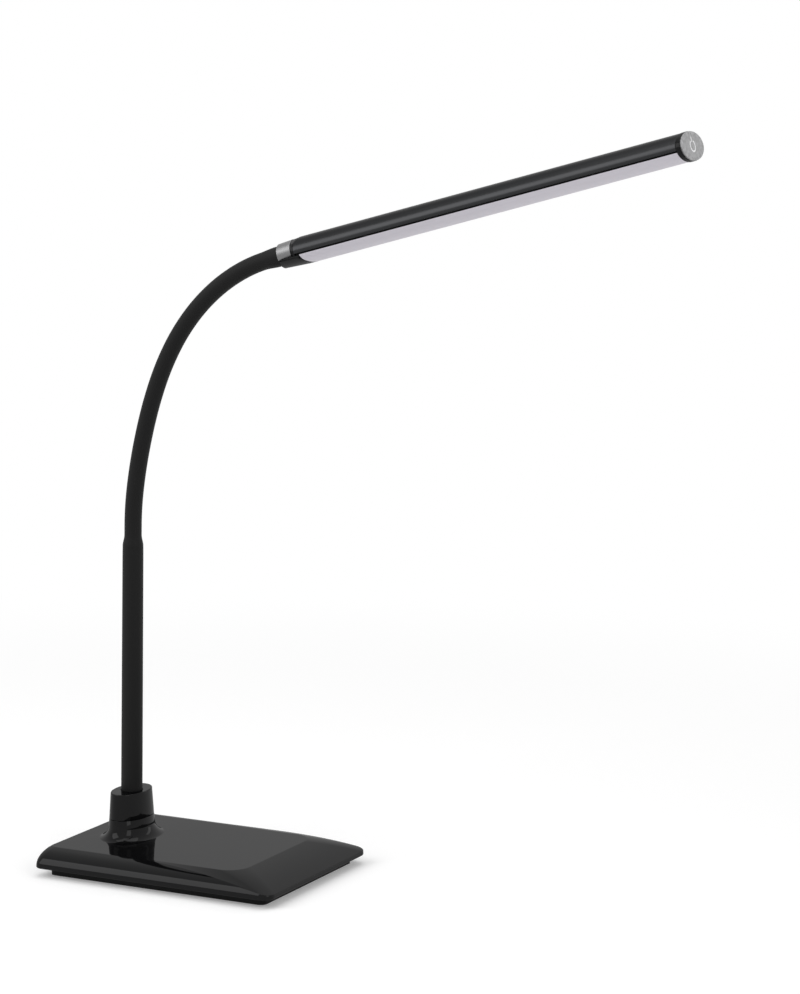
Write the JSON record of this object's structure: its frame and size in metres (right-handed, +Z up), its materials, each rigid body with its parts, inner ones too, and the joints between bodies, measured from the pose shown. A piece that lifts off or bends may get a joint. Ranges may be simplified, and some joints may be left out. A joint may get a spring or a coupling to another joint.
{
  "type": "gooseneck desk lamp",
  "caption": "Desk lamp with a weighted rectangular base, a bendable rubber-covered neck and a slim oval LED bar with a touch switch in its end.",
  "frame": {"origin": "centre of the base on the desk, on the underside of the anti-slip pad", "axes": "+X from the neck towards the tip of the LED bar, +Z up, +Y to the left of the bar"},
  "size_m": [0.4797, 0.148, 0.5457],
  "materials": {
    "gloss_black": "high gloss moulded",
    "matt_black": "fine moulded texture",
    "cap_black": "satin moulded",
    "steel": "plain steel",
    "zinc": "zinc plated",
    "pad_rubber": "closed-cell foam rubber",
    "sleeve_rubber": "matt rubber",
    "cable": "smooth",
    "gunmetal": "dark anodised",
    "satin_silver": "satin",
    "touch_silver": "fine brushed",
    "symbol_pale": "satin",
    "diffuser": "frosted",
    "board_white": "solder mask",
    "board_green": "solder mask",
    "led_yellow": "phosphor",
    "spring_brass": "plain"
  },
  "bodies": {
    "base": {"base_shell": "gloss_black", "base_pan": "matt_black", "ballast_plate": "steel", "desk_pad": "pad_rubber", "base_screws": "zinc", "power_inlet": "matt_black", "driver_board": "board_green", "base_cable": "cable", "stem_stud": "zinc", "stem_nut": "zinc", "stem_washer": "zinc", "boss_collar": "gloss_black", "lower_tube": "steel", "lower_sleeve": "sleeve_rubber", "neck_ferrule": "zinc"},
    "neck_1": {"neck_sleeve_1": "sleeve_rubber", "neck_core_1": "steel"},
    "neck_2": {"neck_sleeve_2": "sleeve_rubber", "neck_core_2": "steel"},
    "neck_3": {"neck_sleeve_3": "sleeve_rubber", "neck_core_3": "steel"},
    "neck_4": {"neck_sleeve_4": "sleeve_rubber", "neck_core_4": "steel"},
    "neck_5": {"neck_sleeve_5": "sleeve_rubber", "neck_core_5": "steel"},
    "neck_6": {"neck_sleeve_6": "sleeve_rubber", "neck_core_6": "steel"},
    "neck_7": {"neck_sleeve_7": "sleeve_rubber", "neck_core_7": "steel"},
    "neck_8": {"neck_sleeve_8": "sleeve_rubber", "neck_core_8": "steel"},
    "head": {"neck_sleeve_9": "sleeve_rubber", "neck_core_9": "steel", "head_ring": "satin_silver", "rear_cap": "cap_black", "neck_end_nut": "zinc", "head_cable": "cable", "head_housing": "gunmetal", "led_board": "board_white", "led_chips": "led_yellow", "board_screws": "zinc", "diffuser": "diffuser", "end_bezel": "cap_black", "bezel_screws": "zinc", "touch_board": "board_green", "touch_spring": "spring_brass", "touch_plate": "touch_silver", "power_symbol": "symbol_pale"}
  },
  "joints": [
    {"name": "bend_1", "type": "hinge", "parent": "base", "child": "neck_1", "pos_m": [-0.0552, 0, 0.25], "axis": [0, 1, 0], "range_deg": [-25, 10]},
    {"name": "sway_2", "type": "hinge", "parent": "neck_1", "child": "neck_2", "pos_m": [-0.05301, 0, 0.27726], "axis": [0.9901, 0, -0.14], "range_deg": [-20, 20]},
    {"name": "bend_3", "type": "hinge", "parent": "neck_2", "child": "neck_3", "pos_m": [-0.04817, 0, 0.30419], "axis": [0, 1, 0], "range_deg": [-25, 10]},
    {"name": "sway_4", "type": "hinge", "parent": "neck_3", "child": "neck_4", "pos_m": [-0.04143, 0, 0.33071], "axis": [0.9605, 0, -0.2782], "range_deg": [-20, 20]},
    {"name": "bend_5", "type": "hinge", "parent": "neck_4", "child": "neck_5", "pos_m": [-0.03259, 0, 0.3566], "axis": [0, 1, 0], "range_deg": [-25, 10]},
    {"name": "sway_6", "type": "hinge", "parent": "neck_5", "child": "neck_6", "pos_m": [-0.02082, 0, 0.38128], "axis": [0.8708, 0, -0.4917], "range_deg": [-20, 20]},
    {"name": "bend_7", "type": "hinge", "parent": "neck_6", "child": "neck_7", "pos_m": [-0.00542, 0, 0.40386], "axis": [0, 1, 0], "range_deg": [-25, 10]},
    {"name": "sway_8", "type": "hinge", "parent": "neck_7", "child": "neck_8", "pos_m": [0.01374, 0, 0.42335], "axis": [0.6448, 0, -0.7644], "range_deg": [-20, 20]},
    {"name": "bend_9", "type": "hinge", "parent": "neck_8", "child": "head", "pos_m": [0.03632, 0, 0.43873], "axis": [0, 1, 0], "range_deg": [-25, 10]}
  ]
}
